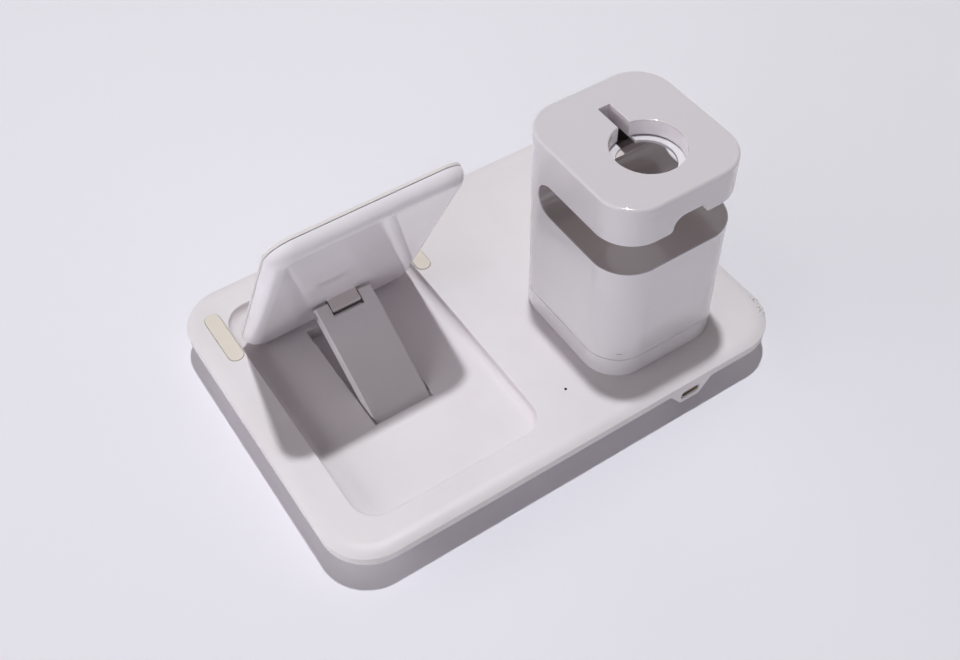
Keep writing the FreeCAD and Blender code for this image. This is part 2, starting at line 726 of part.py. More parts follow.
def support_leg():
    body = new_body("support_leg")
    half = "leg_thickness/2"
    side = new_sketch(body, "YZ_Plane")
    polygon(side, [(f"-{half}", f"-{half}"), (LEG_END, f"-{half}"), (LEG_END, half), (f"-{half}", half)])
    pad(body, side, "leg_width", both_ways=True)
    round_edges(body, along_x((f"-{half}", f"-{half}"), (f"-{half}", half)), f"{half} - leg_edge")
    round_edges(body, along_x((LEG_END, f"-{half}"), (LEG_END, half)), "leg_edge")
    # Bevels along both upper edges
    bevels = new_sketch(body, "XZ_Plane", z=half)
    for side, inward in ("-+", "+-"):
        edge = f"{side}leg_width/2"
        polygon(bevels, [(edge, half), (f"{edge} {inward} leg_bevel", half), (edge, f"{half} - leg_bevel")])
    pocket(body, bevels, f"{LEG_END} + {half}")
    notch = new_sketch(body, "XY_Plane", y=f"(leg_length + {NOTCH_FLOOR})/2 + leg_tip", z=half)
    rectangle(notch, "lug_width + 2*lug_side_gap", f"leg_length - ({NOTCH_FLOOR}) + 2*leg_tip")
    pocket(body, notch, "leg_thickness")
    for place in ("0", "leg_length"):
        hole = new_sketch(body, "YZ_Plane", x=place)
        circle(hole, PIN_HOLE)
        pocket(body, hole, "leg_width", both_ways=True)
    return body


def pin(label, length):
    body = new_body(label)
    section = new_sketch(body, "YZ_Plane")
    circle(section, "pin_diameter")
    pad(body, section, length, both_ways=True)
    return body


def leg_friction_washers():
    """A washer on the pin at each side of the leg's foot."""
    thickness = "(well_side_gap - 2*washer_gap)"
    inner = "(leg_width/2 + washer_gap)"
    washers = []
    for x in (f"recess_x + {inner}", f"recess_x - {inner} - {thickness}"):
        washer = doc.addObject("Part::Cut", "washer")
        for role, diameter in (("Base", "washer_diameter"), ("Tool", PIN_HOLE)):
            disc = cylinder("washer_disc", x, "pivot_y", PIVOT_HEIGHT, diameter, thickness, Vector(1, 0, 0))
            setattr(washer, role, disc)
        washers.append(washer)
    group("leg_friction_washers", washers)


# Panel, lying flat with its back up: Y towards its top edge, origin in the hinge on the leg

PANEL_BACK = "-panel_pivot_depth"
PANEL_FRONT = f"{PANEL_BACK} - panel_thickness"
COVER_BACK = f"{PANEL_FRONT} + cover_thickness"
SHELL_FRONT = f"{COVER_BACK} + cover_seam"
PANEL_MIDDLE = "panel_length/2 - panel_pivot_height"
PANEL_FOOT = "-panel_pivot_height"


def panel_outline(body, height, inset="0"):
    sketch = new_sketch(body, "XY_Plane", y=PANEL_MIDDLE, z=height)
    rounded_rectangle(sketch, f"panel_width - 2*({inset})", f"panel_length - 2*({inset})",
                      f"panel_corner - ({inset})")
    return sketch


def panel_back_shell():
    body = new_body("panel_back_shell")
    pad(body, panel_outline(body, SHELL_FRONT), f"{PANEL_BACK} - ({SHELL_FRONT})")
    round_edges(body, flat_at(PANEL_BACK), "panel_roll")
    # Notch in the middle of the bottom edge
    notch = new_sketch(body, "XY_Plane", y=PANEL_FOOT, z=PANEL_BACK)
    rectangle(notch, "notch_width", "2*notch_depth")
    pocket(body, notch, "panel_thickness")
    cavity = new_sketch(body, "XY_Plane", y=f"{PANEL_MIDDLE} + notch_depth/2", z=SHELL_FRONT)
    rounded_rectangle(cavity, "panel_width - 2*panel_roll", "panel_length - 2*panel_roll - notch_depth",
                      "panel_corner - panel_wall")
    pocket(body, cavity, f"{PANEL_BACK} - ({SHELL_FRONT}) - panel_wall", reverse=True)
    # Hinge lug, as thick as the leg and round at its end
    half = "leg_thickness/2"
    lug = new_sketch(body, "YZ_Plane")
    polygon(lug, [(f"-{half}", f"{PANEL_BACK} - panel_wall/2"), (half, f"{PANEL_BACK} - panel_wall/2"),
                  (half, half), (f"-{half}", half)])
    pad(body, lug, "lug_width", both_ways=True)
    round_edges(body, along_x((f"-{half}", half), (half, half)), f"{half} - leg_edge")
    hole = new_sketch(body, "YZ_Plane")
    circle(hole, PIN_HOLE)
    pocket(body, hole, "lug_width", both_ways=True)
    return body


def panel_front_cover():
    body = new_body("panel_front_cover")
    pad(body, panel_outline(body, PANEL_FRONT), "cover_thickness")
    round_edges(body, flat_at(PANEL_FRONT), "cover_edge")
    # Tongue that locates the cover inside the back shell
    tongue = new_sketch(body, "XY_Plane", y=f"{PANEL_MIDDLE} + notch_depth/2", z=COVER_BACK)
    rounded_rectangle(tongue, "panel_width - 2*panel_roll - 2*cover_seam",
                      "panel_length - 2*panel_roll - notch_depth - 2*cover_seam",
                      "panel_corner - panel_wall - cover_seam")
    rounded_rectangle(tongue, "panel_width - 2*panel_roll - 2*cover_seam - 2*panel_wall",
                      "panel_length - 2*panel_roll - notch_depth - 2*cover_seam - 2*panel_wall",
                      "panel_corner - 2*panel_wall - cover_seam")
    pad(body, tongue, "cover_tongue")
    return body


def phone_charging_coil():
    body = new_body("phone_charging_coil")
    ring = new_sketch(body, "XY_Plane", y=PANEL_MIDDLE, z=COVER_BACK)
    circles(ring, "coil_outer", [("0", "0")])
    circles(ring, "coil_inner", [("0", "0")])
    pad(body, ring, "coil_thickness")
    return body


def coil_ferrite_sheet():
    body = new_body("coil_ferrite_sheet")
    sheet_outline = new_sketch(body, "XY_Plane", y=PANEL_MIDDLE, z=f"{COVER_BACK} + coil_thickness")
    rectangle(sheet_outline, "ferrite_side", "ferrite_side")
    pad(body, sheet_outline, "ferrite_thickness")
    return body


# Tower

def tower_foot_ring():
    body = new_body("tower_foot_ring")
    pad(body, tower_outline(body, "base_top"), "ring_height")
    round_edges(body, flat_at("base_top"), "tower_edge")
    round_edges(body, flat_at(RING_TOP), "tower_edge")
    inside = tower_outline(body, RING_TOP, "tower_wall - post_sink - post_gap")
    pocket(body, inside, "ring_height - ring_floor")
    pocket(body, level_circles(body, RING_TOP, SCREW_HOLE, POSTS), "ring_height")


def half_round(sketch, radius, reach):
    """Half a circle about the sketch's origin, with straight sides running back from it."""
    r, run = number(radius), number(reach)
    low, top, back = Vector(0, -r, 0), Vector(0, r, 0), Vector(-run, 0, 0)
    end = Part.Circle(Vector(), Vector(0, 0, 1), r)
    sketch.addGeometry(Part.LineSegment(low + back, low))
    sketch.addGeometry(Part.ArcOfCircle(end, -math.pi / 2, math.pi / 2))
    sketch.addGeometry(Part.LineSegment(top, top + back))
    sketch.addGeometry(Part.LineSegment(top + back, low + back))
    for line, following in ((0, 1), (1, 2)):
        sketch.addConstraint(Sketcher.Constraint("Tangent", line, 2, following, 1))
    for line, following in ((2, 3), (3, 0)):
        sketch.addConstraint(Sketcher.Constraint("Coincident", line, 2, following, 1))
    sketch.addConstraint(Sketcher.Constraint("Coincident", 1, 3, -1, 1))
    sketch.addConstraint(Sketcher.Constraint("Horizontal", 0))
    sketch.addConstraint(Sketcher.Constraint("Vertical", 3))
    dimension(sketch, Sketcher.Constraint("Radius", 1, r), radius)
    dimension(sketch, Sketcher.Constraint("DistanceX", 0, 1, 0, 2, run), reach)


def slot_sketch(body, radius, reach):
    sketch = new_sketch(body, "YZ_Plane", x="tower_y + slot_end - slot_height/2", y=SLOT_MIDDLE,
                        z="tower_x")
    half_round(sketch, radius, reach)
    return sketch


def keyhole(body, height, outset):
    """Round hole for the puck and the slot for its lead, as two sketches."""
    hole = level_circles(body, height, f"puck_bore + 2*({outset})", [("puck_x", "puck_y")])
    reach = f"(lead_slot_reach + {outset})"
    slot = new_sketch(body, "XY_Plane", x="puck_x", y=f"puck_y + {reach}/2", z=height)
    rectangle(slot, f"lead_slot_width + 2*({outset})", reach)
    return hole, slot


def tower_shell():
    body = new_body("tower_shell")
    bottom = f"{RING_TOP} + seam_gap"
    pad(body, tower_outline(body, bottom), f"{TOWER_TOP} - ({bottom})")
    round_edges(body, flat_at(TOWER_TOP), "tower_round")
    round_edges(body, flat_at(bottom), "tower_edge")
    pocket(body, tower_outline(body, bottom, "tower_wall"), f"{TOWER_TOP} - ({bottom}) - tower_roof",
           reverse=True)
    # Strap slot with its floor and round end wall, open on three sides
    pad(body, tower_outline(body, f"{SLOT_FLOOR} - shelf_wall", "tower_wall/2"), "shelf_wall")
    pad(body, slot_sketch(body, "slot_height/2 + shelf_wall", "shelf_wall"), "tower_width - tower_wall",
        both_ways=True)
    pocket(body, slot_sketch(body, "slot_height/2", "tower_depth"), "2*tower_width", both_ways=True)
    lead_hole = new_sketch(body, "XY_Plane", x="tower_x", z=SLOT_FLOOR,
                           y="tower_y + tower_depth/2 - 2*tower_wall - lead_hole_length/2")
    rectangle(lead_hole, "lead_hole_width", "lead_hole_length")
    pocket(body, lead_hole, "shelf_wall")
    # Arch in the front wall, above the slot, and the higher edge of the wall to its right
    ceiling = f"{SLOT_FLOOR} + slot_height"
    left, right = (f"tower_x + arch_x {side} arch_width/2" for side in "-+")
    arch = new_sketch(body, "XZ_Plane", z=f"-({TOWER_FRONT})")
    polygon(arch, [(left, SLOT_MIDDLE), (right, SLOT_MIDDLE), (right, f"{ceiling} + arch_rise"),
                   (left, f"{ceiling} + arch_rise")])
    pocket(body, arch, "tower_wall")
    step = new_sketch(body, "XZ_Plane", z=f"-({TOWER_FRONT})")
    outside = "tower_x + tower_width"
    polygon(step, [("tower_x + arch_x", SLOT_MIDDLE), (outside, SLOT_MIDDLE),
                   (outside, f"{ceiling} + skirt_step"), ("tower_x + arch_x", f"{ceiling} + skirt_step")])
    pocket(body, step, "tower_corner")
    round_edges(body, along_y((left, f"{ceiling} + arch_rise")), "arch_left_round")
    round_edges(body, along_y((right, f"{ceiling} + arch_rise")), "arch_right_round")
    round_edges(body, along_y((left, ceiling), (right, f"{ceiling} + skirt_step")), "arch_flare")
    # Posts for the screws from the base
    post_bottom = "base_top + ring_floor"
    pad(body, level_circles(body, post_bottom, "post_diameter", POSTS), "post_height")
    pocket(body, level_circles(body, post_bottom, SCREW_HOLE, POSTS), "screw_bite + screw_fit",
           reverse=True)
    # Keyhole with its wall, and posts for the ledge's screws
    under_roof = f"{TOWER_TOP} - tower_roof/2"
    for outline in keyhole(body, f"{LEDGE_TOP} + ledge_gap", "bore_wall"):
        pad(body, outline, f"{under_roof} - ({LEDGE_TOP}) - ledge_gap")
    pad(body, level_circles(body, LEDGE_TOP, "post_diameter", POSTS), f"{under_roof} - ({LEDGE_TOP})")
    pocket(body, level_circles(body, LEDGE_TOP, SCREW_HOLE, POSTS), "bore_depth - tower_roof", reverse=True)
    for outline in keyhole(body, TOWER_TOP, "0"):
        pocket(body, outline, "bore_depth")
    rim = flat_at(TOWER_TOP)
    half_bore = number("puck_bore/2") + TOUCH
    slot_end = number("puck_y + lead_slot_reach") + TOUCH
    round_edges(body, lambda edge: rim(edge) and abs(edge.Center.x - number("puck_x")) < half_bore
                and edge.XLength < 2 * half_bore and edge.YMax < slot_end
                and edge.YMin > number("puck_y") - half_bore, "tower_edge")


def puck_ledge():
    body = new_body("puck_ledge")
    pad(body, tower_outline(body, LEDGE_BOTTOM, "tower_wall + ledge_fit"), "ledge_thickness")
    pocket(body, level_circles(body, LEDGE_TOP, "ledge_hole", [("puck_x", "puck_y")]), "ledge_thickness")
    slot = new_sketch(body, "XY_Plane", x="puck_x", y="puck_y + lead_slot_reach/2", z=LEDGE_TOP)
    rounded_rectangle(slot, "ledge_slot_width", "lead_slot_reach", "ledge_slot_round")
    pocket(body, slot, "ledge_thickness")
    pocket(body, level_circles(body, LEDGE_TOP, SCREW_HOLE, POSTS), "ledge_thickness")


def place(item, y, z, angle):
    """Put a moving sub-part on its hinge, turned about X."""
    item.Placement = Placement(Vector(), Rotation(Vector(1, 0, 0), number(angle)))
    for name, expression in (("Base.x", "recess_x"), ("Base.y", y), ("Base.z", z), ("Rotation.Angle", angle)):
        bind(item, f"Placement.{name}", expression)


base_top_shell()
base_bottom_shell()
rubber_feet()
screws("base_screws", FEET, "belly_bottom + foot_seat + screw_fit + screw_head_height",
       "base_boss_web + base_screw_bite", True)
grip_pad("left_grip_pad", "-")
grip_pad("right_grip_pad", "+")
status_light()
usb_c_socket()
main_board()
board_parts()
screws("board_screws", STANDOFFS, BOARD_TOP, "board_thickness + screw_bite", False)
leg_friction_washers()

tower_foot_ring()
tower_shell()
puck_ledge()
screws("tower_screws", POSTS, SEAM, "top_thickness + ring_floor + screw_bite", True)
screws("ledge_screws", POSTS, LEDGE_BOTTOM, "ledge_thickness + bore_depth - tower_roof - ledge_gap", True)

place(pin("leg_hinge_pin", WELL_OUTER), "pivot_y", PIVOT_HEIGHT, "leg_angle")
knee_y = "pivot_y + leg_length*cos(leg_angle*1deg)"
knee_z = f"{PIVOT_HEIGHT} + leg_length*sin(leg_angle*1deg)"
place(support_leg(), "pivot_y", PIVOT_HEIGHT, "leg_angle")
place(pin("panel_hinge_pin", "leg_width"), knee_y, knee_z, "leg_angle")
for build in (panel_back_shell, panel_front_cover, phone_charging_coil, coil_ferrite_sheet):
    place(build(), knee_y, knee_z, "180 - panel_angle")

doc.recompute()
for item in doc.Objects:
    if "Invalid" in item.State or "Error" in item.State:
        raise ValueError(f"{item.Label} failed: {item.State}")
for item in sub_parts:
    if item.Shape.isNull() or not item.Shape.isValid():
        raise ValueError(f"{item.Label} has no valid shape")

os.makedirs("parts", exist_ok=True)
for item in sub_parts:
    item.Shape.exportStep(f"parts/{item.Label}.step")
    print(f"{item.Label}: {len(item.Shape.Solids)} solids, {item.Shape.Volume / 1000:.2f} cm3")
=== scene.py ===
# %% [markdown]
# # Dressing a charging station
#
# The station is a low white base. A phone panel folds up on its left on a flat leg, and a tower on
# its right carries a watch puck over a strap slot. Its shapes come ready from the construction
# model, so this lesson is about finishes: how satin, gloss, silicone and steel are told apart by
# nothing more than grain, gloss, edges and a few marks of use.
#
# Every shape could be modelled again in Blender, but two models drift apart. Loading the packed one
# keeps each piece at its true size and on the body that it moves with.

# %% Load the packed station
import math

import bpy
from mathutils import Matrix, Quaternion, Vector


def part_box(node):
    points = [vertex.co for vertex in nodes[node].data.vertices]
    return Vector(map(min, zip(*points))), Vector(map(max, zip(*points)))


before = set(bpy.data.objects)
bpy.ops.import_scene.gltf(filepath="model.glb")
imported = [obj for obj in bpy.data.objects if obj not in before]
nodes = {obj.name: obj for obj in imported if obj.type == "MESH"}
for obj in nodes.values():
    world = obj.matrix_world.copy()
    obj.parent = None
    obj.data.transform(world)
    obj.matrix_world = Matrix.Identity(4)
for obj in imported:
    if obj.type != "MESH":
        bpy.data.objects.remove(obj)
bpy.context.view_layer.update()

MM = 0.001

# %% [markdown]
# ## Sums on surfaces
#
# A finish is arithmetic on patterns: a grain times a strength, one minus a mask. Wiring Math nodes
# by hand hides that, so a small class stands for one socket and turns Python's own operators into
# nodes. Values use Math nodes and vectors use Vector Math.

# %% A socket that can be added, scaled and compared
class Signal:
    """One output socket of a node board, with arithmetic."""

    def __init__(self, board, socket):
        self.board = board
        self.socket = socket

    def sum(self, operation, *others):
        kind = "ShaderNodeVectorMath" if self.socket.type == "VECTOR" else "ShaderNodeMath"
        return self.board.node(kind, {"operation": operation}, dict(enumerate(others)))

    def __add__(self, other):
        return self.sum("ADD", self, other)

    def __radd__(self, other):
        return self.sum("ADD", other, self)

    def __sub__(self, other):
        return self.sum("SUBTRACT", self, other)

    def __rsub__(self, other):
        return self.sum("SUBTRACT", other, self)

    def __mul__(self, other):
        return self.sum("MULTIPLY", self, other)

    def __rmul__(self, other):
        return self.sum("MULTIPLY", other, self)

    def __lt__(self, other):
        return self.sum("LESS_THAN", self, other)

    def __gt__(self, other):
        return self.sum("GREATER_THAN", self, other)

    def __abs__(self):
        return self.sum("ABSOLUTE", self)

    def sine(self):
        return self.sum("SINE", self)

    def most(self, other):
        return self.sum("MAXIMUM", self, other)

    def part(self, name):
        """One of a vector's X, Y and Z."""
        return self.board.node("ShaderNodeSeparateXYZ", {}, {"Vector": self}, name)

    def length(self):
        return self.board.node("ShaderNodeVectorMath", {"operation": "LENGTH"}, {0: self}, "Value")

    def fade(self, start, end):
        """0 at start, 1 at end and smooth between them, for values."""
        return self.board.node("ShaderNodeMapRange", {"interpolation_type": "SMOOTHSTEP"},
                               {"Value": self, "From Min": start, "From Max": end})


print("operators", [name for name in vars(Signal) if name.startswith("__")][1:])

# %% [markdown]
# ## A board of nodes
#
# A board is one node tree, of a material or of the world. Its one method `node` makes any node: it
# sets the node's options first, because they can change the sockets, and the sockets after them.

# %% Node board
class Board:
    """A node tree that nodes are put on."""

    def __init__(self, tree):
        self.tree = tree

    def node(self, kind, settings, inputs, output=0):
        made = self.tree.nodes.new(kind)
        for name, setting in settings.items():
            setattr(made, name, setting)
        for name, value in inputs.items():
            self.feed(made.inputs[name], value)
        return Signal(self, made.outputs[output])

    def feed(self, socket, value):
        if isinstance(value, Signal):
            self.tree.links.new(value.socket, socket)
        else:
            wide = socket.type == "RGBA" and len(value) == 3
            socket.default_value = (*value, 1.0) if wide else value


print("board", [name for name in vars(Board) if not name.startswith("__")])

# %% [markdown]
# ## A finish on a board
#
# A finish is a board around one Principled shader. Its patterns are placed in the object's own
# metres, not by unwrapping, so a grain has the same size on every piece and needs no seams. The
# patterns that several finishes share are methods here: clouds, specks, distances and relief.

# %% Finish
MIX_FACTOR, MIX_FIRST, MIX_SECOND, MIX_COLOUR = 0, 6, 7, 2
EDGE_SAMPLES = 4


class Finish(Board):
    """A material around one Principled shader."""

    def __init__(self, name, **constants):
        self.material = bpy.data.materials.new(name)
        self.material.use_nodes = True
        super().__init__(self.material.node_tree)
        self.shader = self.tree.nodes["Principled BSDF"]
        self.place = self.node("ShaderNodeTexCoord", {}, {}, "Object")
        self.set(**constants)

    def set(self, **values):
        """Values or signals on the shader's sockets, such as coat_weight for Coat Weight."""
        for name, value in values.items():
            socket = name.replace("_", " ").title().replace("Ior", "IOR")
            self.feed(self.shader.inputs[socket], value)

    def mix(self, factor, first, second):
        """A colour between two colours."""
        ends = {MIX_FACTOR: factor, MIX_FIRST: first, MIX_SECOND: second}
        return self.node("ShaderNodeMix", {"data_type": "RGBA"}, ends, MIX_COLOUR)

    def noise(self, size, detail=2.0, place=None):
        """Soft cloudy pattern from 0 to 1, whose clouds are about a size across."""
        return self.node("ShaderNodeTexNoise", {},
                         {"Vector": place or self.place, "Scale": 1.0 / size, "Detail": detail})

    def specks(self, spacing, radius, share):
        """Sparse ragged spots: 1 inside a spot. Only a share of the cells holds one."""
        cells = {"Vector": self.place, "Scale": 1.0 / spacing, "Randomness": 1.0}
        distance = self.node("ShaderNodeTexVoronoi", {}, cells, "Distance")
        tone = self.node("ShaderNodeTexVoronoi", {}, cells, "Color")
        chance = self.node("ShaderNodeSeparateColor", {}, {"Color": tone}, "Red")
        ragged = distance * spacing + (self.noise(radius) - 0.5) * radius
        return (ragged < radius) * (chance < share)

    def away_from(self, point, stretch=(1.0, 1.0, 1.0)):
        """Distance from a point, with each axis stretched by its own factor."""
        return ((self.place - tuple(point)) * stretch).length()

    def along(self, origin, direction):
        """Distance from a point, measured along a direction."""
        ends = {0: self.place - tuple(origin), 1: tuple(direction)}
        return self.node("ShaderNodeVectorMath", {"operation": "DOT_PRODUCT"}, ends, "Value")

    def relief(self, height, depth, edge_round=0.0):
        """Normal from a height of 0 to 1 that is worth a depth, on edges softened by a radius."""
        under = {}
        if edge_round:
            rounding = {"Radius": edge_round}
            under["Normal"] = self.node("ShaderNodeBevel", {"samples": EDGE_SAMPLES}, rounding)
        return self.node("ShaderNodeBump", {}, {"Height": height, "Distance": depth, **under})


print("finish", [name for name in vars(Finish) if not name.startswith("__")])

# %% [markdown]
# ## Dressing a piece
#
# The pieces come with plain materials. A mesh could get new slots face by face, but each piece here
# is of one stuff, so its whole list of materials gives way to one finish.

# %% Dress
def dress(finish, *names):
    """Put a finish on construction nodes by name."""
    for name in names:
        mesh = nodes[name].data
        mesh.materials.clear()
        mesh.materials.append(finish.material)
    print("finish", finish.material.name, "on", ", ".join(names))


print("pieces to dress", len(nodes))

# %% [markdown]
# ## Satin white shells
#
# The base and the leg are a slightly rough white plastic. One colour would look like paper. Three
# layers make it plastic: a fine grain, a cloudy tone that shifts the colour by a few percent, and a
# few specks of dust. Its whites were fitted to the tones of the photograph, under the lamps below.
# A mould's edges are never sharp either. A bevel could be cut into the meshes, but they belong to
# the construction model, so the shader's normal is rounded at the edges instead.

# %% Satin white
SATIN_WHITE = (0.752, 0.711, 0.727)
SATIN_SHADE = (0.722, 0.679, 0.693)
SATIN_ROUGHNESS = 0.40
SATIN_CLOUD_ROUGHNESS = 0.08
SATIN_GRAIN_ROUGHNESS = 0.05
SATIN_CLOUD = 38 * MM
CLOUD_SPAN = (0.35, 0.7)
# The dark colour of dust, scuffs and scratches, also used as painted shade in the hinge gaps.
SPECK_AND_GAP_SHADE = (0.16, 0.14, 0.13)
SATIN_DUST = {"spacing": 19 * MM, "radius": 0.22 * MM, "share": 0.16}
SATIN_MARK_AND_SHADE_STRENGTH = 0.75
GRAIN_SIZE = 0.35 * MM
GRAIN_DEPTH = 0.004 * MM
EDGE_ROUND = 0.22 * MM


def two_tone(finish, cloud, first, second, lift):
    """A colour that drifts between two with a cloud. Lift makes both lighter or darker."""
    return finish.mix(cloud.fade(*CLOUD_SPAN), Vector(first) * lift, Vector(second) * lift)


def satin_white(name, lift=1.0, marks_and_shade=None):
    """Satin plastic. Where a function is given for marks and painted shade, the mask that it returns
    is darkened.
    """
    finish = Finish(name, specular_ior_level=0.45)
    cloud = finish.noise(SATIN_CLOUD, detail=3.0)
    dark = finish.specks(**SATIN_DUST)
    if marks_and_shade:
        dark = dark.most(marks_and_shade(finish))
    tone = two_tone(finish, cloud, SATIN_WHITE, SATIN_SHADE, lift)
    grain = finish.noise(GRAIN_SIZE, detail=3.0)
    finish.set(base_color=finish.mix(dark * SATIN_MARK_AND_SHADE_STRENGTH, tone, SPECK_AND_GAP_SHADE),
               roughness=(SATIN_ROUGHNESS + cloud * SATIN_CLOUD_ROUGHNESS
                          + grain * SATIN_GRAIN_ROUGHNESS),
               normal=finish.relief(grain, GRAIN_DEPTH, EDGE_ROUND))
    return finish


dress(satin_white("satin_white_plastic"), "base_bottom_shell")

# %% [markdown]
# ## Leg and the dark lines at its hinge
#
# The leg is the same satin, made greyer until its tone was that of the photograph. Dark lines of
# shade frame the panel's lug there, in narrow gaps with no light in them. A narrower gap could give
# them by shadow alone, but the hinge needs its room. So the walls of the notch that takes the lug,
# and the tip behind, are painted dark: painted shade. The leg leans, and its masks are measured along
# it, from its pin.

# %% Leg
LEG_LIFT = 0.86
LEG_LEAN = math.radians(31.1)
LEG_WAY = (0.0, math.cos(LEG_LEAN), math.sin(LEG_LEAN))
NOTCH_FLOOR = 46.4 * MM
NOTCH_WIDTH = 14.0 * MM
LEG_TIP = 52.5 * MM
WALL_SKIN = 0.05 * MM


def middle_of(node):
    low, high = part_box(node)
    return (low + high) / 2


# Painted shade for the hinge gaps: the walls of the notch and the leg's tip.
def leg_gap_painted_shade(finish):
    foot = middle_of("leg_hinge_pin")
    reach = finish.along(foot, LEG_WAY)
    across = abs(finish.place.part("X") - foot.x)
    notch = (across < NOTCH_WIDTH / 2 + WALL_SKIN) * (reach > NOTCH_FLOOR - WALL_SKIN)
    return notch.most(reach > LEG_TIP - WALL_SKIN)


dress(satin_white("satin_white_leg", lift=LEG_LIFT, marks_and_shade=leg_gap_painted_shade), "support_leg")

# %% [markdown]
# ## A scuffed corner
#
# At the corner beside the tower, a row of small dark marks sits on the rim of the base's cover, as
# from a knock. They could be painted on an image, but a mask does it with no image: specks much
# denser than the dust, kept only within reach of that corner and below the flat top.

# %% Cover of the base, with its scuffs
SCUFF_OFFSET = Vector((-1.4, 14.5, -1.3)) * MM
SCUFF_REACH = 7.5 * MM
SCUFF_CORE = 0.6
SCUFFS = {"spacing": 0.9 * MM, "radius": 0.32 * MM, "share": 0.7}
RIM_DROP = 0.35 * MM


def rim_scuffs(finish):
    low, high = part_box("base_top_shell")
    corner = Vector((high.x, low.y, high.z)) + SCUFF_OFFSET
    close = 1 - finish.away_from(corner).fade(SCUFF_REACH * SCUFF_CORE, SCUFF_REACH)
    rim = finish.place.part("Z") < high.z - RIM_DROP
    return finish.specks(**SCUFFS) * close * rim


dress(satin_white("satin_white_cover", marks_and_shade=rim_scuffs), "base_top_shell")

# %% [markdown]
# ## Gloss white
#
# The tower and the back of the panel are polished. They mirror what stands near, so their gloss
# matters more than their colour. One roughness can't give both a soft highlight on the edges and a
# clear mirror on the flats, so a thin coat carries the mirror over a duller body. A shallow swell,
# like the skin of an orange, makes the mirrored edges waver. A short scratch above the seam of the
# tower's foot is a spot stretched along the wall.

# %% Gloss white
GLOSS_WHITE = (0.740, 0.706, 0.740)
GLOSS_SHADE = (0.712, 0.679, 0.712)
GLOSS_CLOUD = 45 * MM
GLOSS_DUST = {"spacing": 15 * MM, "radius": 0.24 * MM, "share": 0.12}
GLOSS_DUST_STRENGTH = 0.6
GLOSS_CLOUD_ROUGHNESS = 0.04
GLOSS_DUST_ROUGHNESS = 0.3
COAT_ROUGHNESS = 0.02
SWELL_SIZE = 9 * MM
SWELL_DEPTH = 0.003 * MM
SCRATCH_PLACE = Vector((29.9, -58.8, 33.6)) * MM
SCRATCH_STRETCH = (0.25, 0.25, 1.0)
SCRATCH_RADIUS = 0.3 * MM


def gloss_white(name, roughness=0.16, coat=0.7, lift=1.0, painted_light_and_shade=None, scratched=False):
    """Coated plastic. A function given for painted light and shade, if any, paints them into the
    colour on parts of the piece.
    """
    finish = Finish(name, coat_weight=coat, coat_roughness=COAT_ROUGHNESS)
    cloud = finish.noise(GLOSS_CLOUD)
    dark = finish.specks(**GLOSS_DUST)
    if scratched:
        dark = dark.most(finish.away_from(SCRATCH_PLACE, SCRATCH_STRETCH) < SCRATCH_RADIUS)
    tone = two_tone(finish, cloud, GLOSS_WHITE, GLOSS_SHADE, lift)
    if painted_light_and_shade:
        tone = painted_light_and_shade(finish, tone)
    swell = finish.noise(SWELL_SIZE)
    finish.set(base_color=finish.mix(dark * GLOSS_DUST_STRENGTH, tone, SPECK_AND_GAP_SHADE),
               roughness=roughness + cloud * GLOSS_CLOUD_ROUGHNESS + dark * GLOSS_DUST_ROUGHNESS,
               normal=finish.relief(swell, SWELL_DEPTH))
    return finish


dress(gloss_white("gloss_white_trim"), "tower_foot_ring", "puck_ledge")

# %% [markdown]
# ## Tower
#
# In the photograph the tower's top is greyer than its walls, the bore for the puck is whiter, and the
# strap slot is darker, most of all at its round back. Light makes part of that, and these lamps give
# only some of it. The rest is painted into the plastic's colour: painted shade on the top and in the
# slot, and painted light in the bore and in the hollow under the ledge. So these are no true colours.
# Separate materials per face would need the faces picked by hand. A mask finds the inside instead:
# every point that lies deeper than the skin of the tower's rounded outline. Heights then tell the
# bore, the hollow under the ledge and the slot apart.

# %% Tower
# Painted shade on the top and in the slot, and painted light in the bore and the hollow.
GLOSS_TOP_PAINTED_SHADE = (0.615, 0.571, 0.594)
TOP_FADE = 1.0 * MM
TOWER_CORNER = 16 * MM
SKIN = 0.5 * MM
BORE_PAINTED_LIGHT = (0.92, 0.87, 0.91)
HOLLOW_PAINTED_LIGHT = (0.85, 0.77, 0.75)
SLOT_CEILING = 97.7 * MM
SLOT_PAINTED_SHADE = (0.54, 0.485, 0.485)
SLOT_BACK_PAINTED_SHADE = (0.43, 0.385, 0.385)
SLOT_BACK_FADE = (-26 * MM, -20 * MM)


def tower_painted_light_and_shade(finish, tone):
    """Painted light and shade: greyer on the top face, whiter in the bore and in the hollow, and
    darker in the slot, most at its back.
    """
    low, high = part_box("tower_shell")
    ledge_low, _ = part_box("puck_ledge")
    middle, half = (low + high) / 2, (high - low) / 2
    past = [(abs(finish.place.part(axis) - middle[i]) - (half[i] - TOWER_CORNER)).most(0.0)
            for i, axis in enumerate("XY")]
    reach = finish.node("ShaderNodeCombineXYZ", {}, {"X": past[0], "Y": past[1]}).length()
    height = finish.place.part("Z")
    inside = reach < TOWER_CORNER - SKIN
    top = height.fade(high.z - TOP_FADE, high.z)
    upper = finish.mix(top, finish.mix(inside, tone, BORE_PAINTED_LIGHT), GLOSS_TOP_PAINTED_SHADE)
    slot = finish.mix(finish.place.part("Y").fade(*SLOT_BACK_FADE), SLOT_PAINTED_SHADE, SLOT_BACK_PAINTED_SHADE)
    lower = finish.mix(height > SLOT_CEILING, slot, HOLLOW_PAINTED_LIGHT)
    return finish.mix(inside * (height < ledge_low.z), upper, lower)


dress(gloss_white("gloss_white_tower", painted_light_and_shade=tower_painted_light_and_shade, scratched=True), "tower_shell")

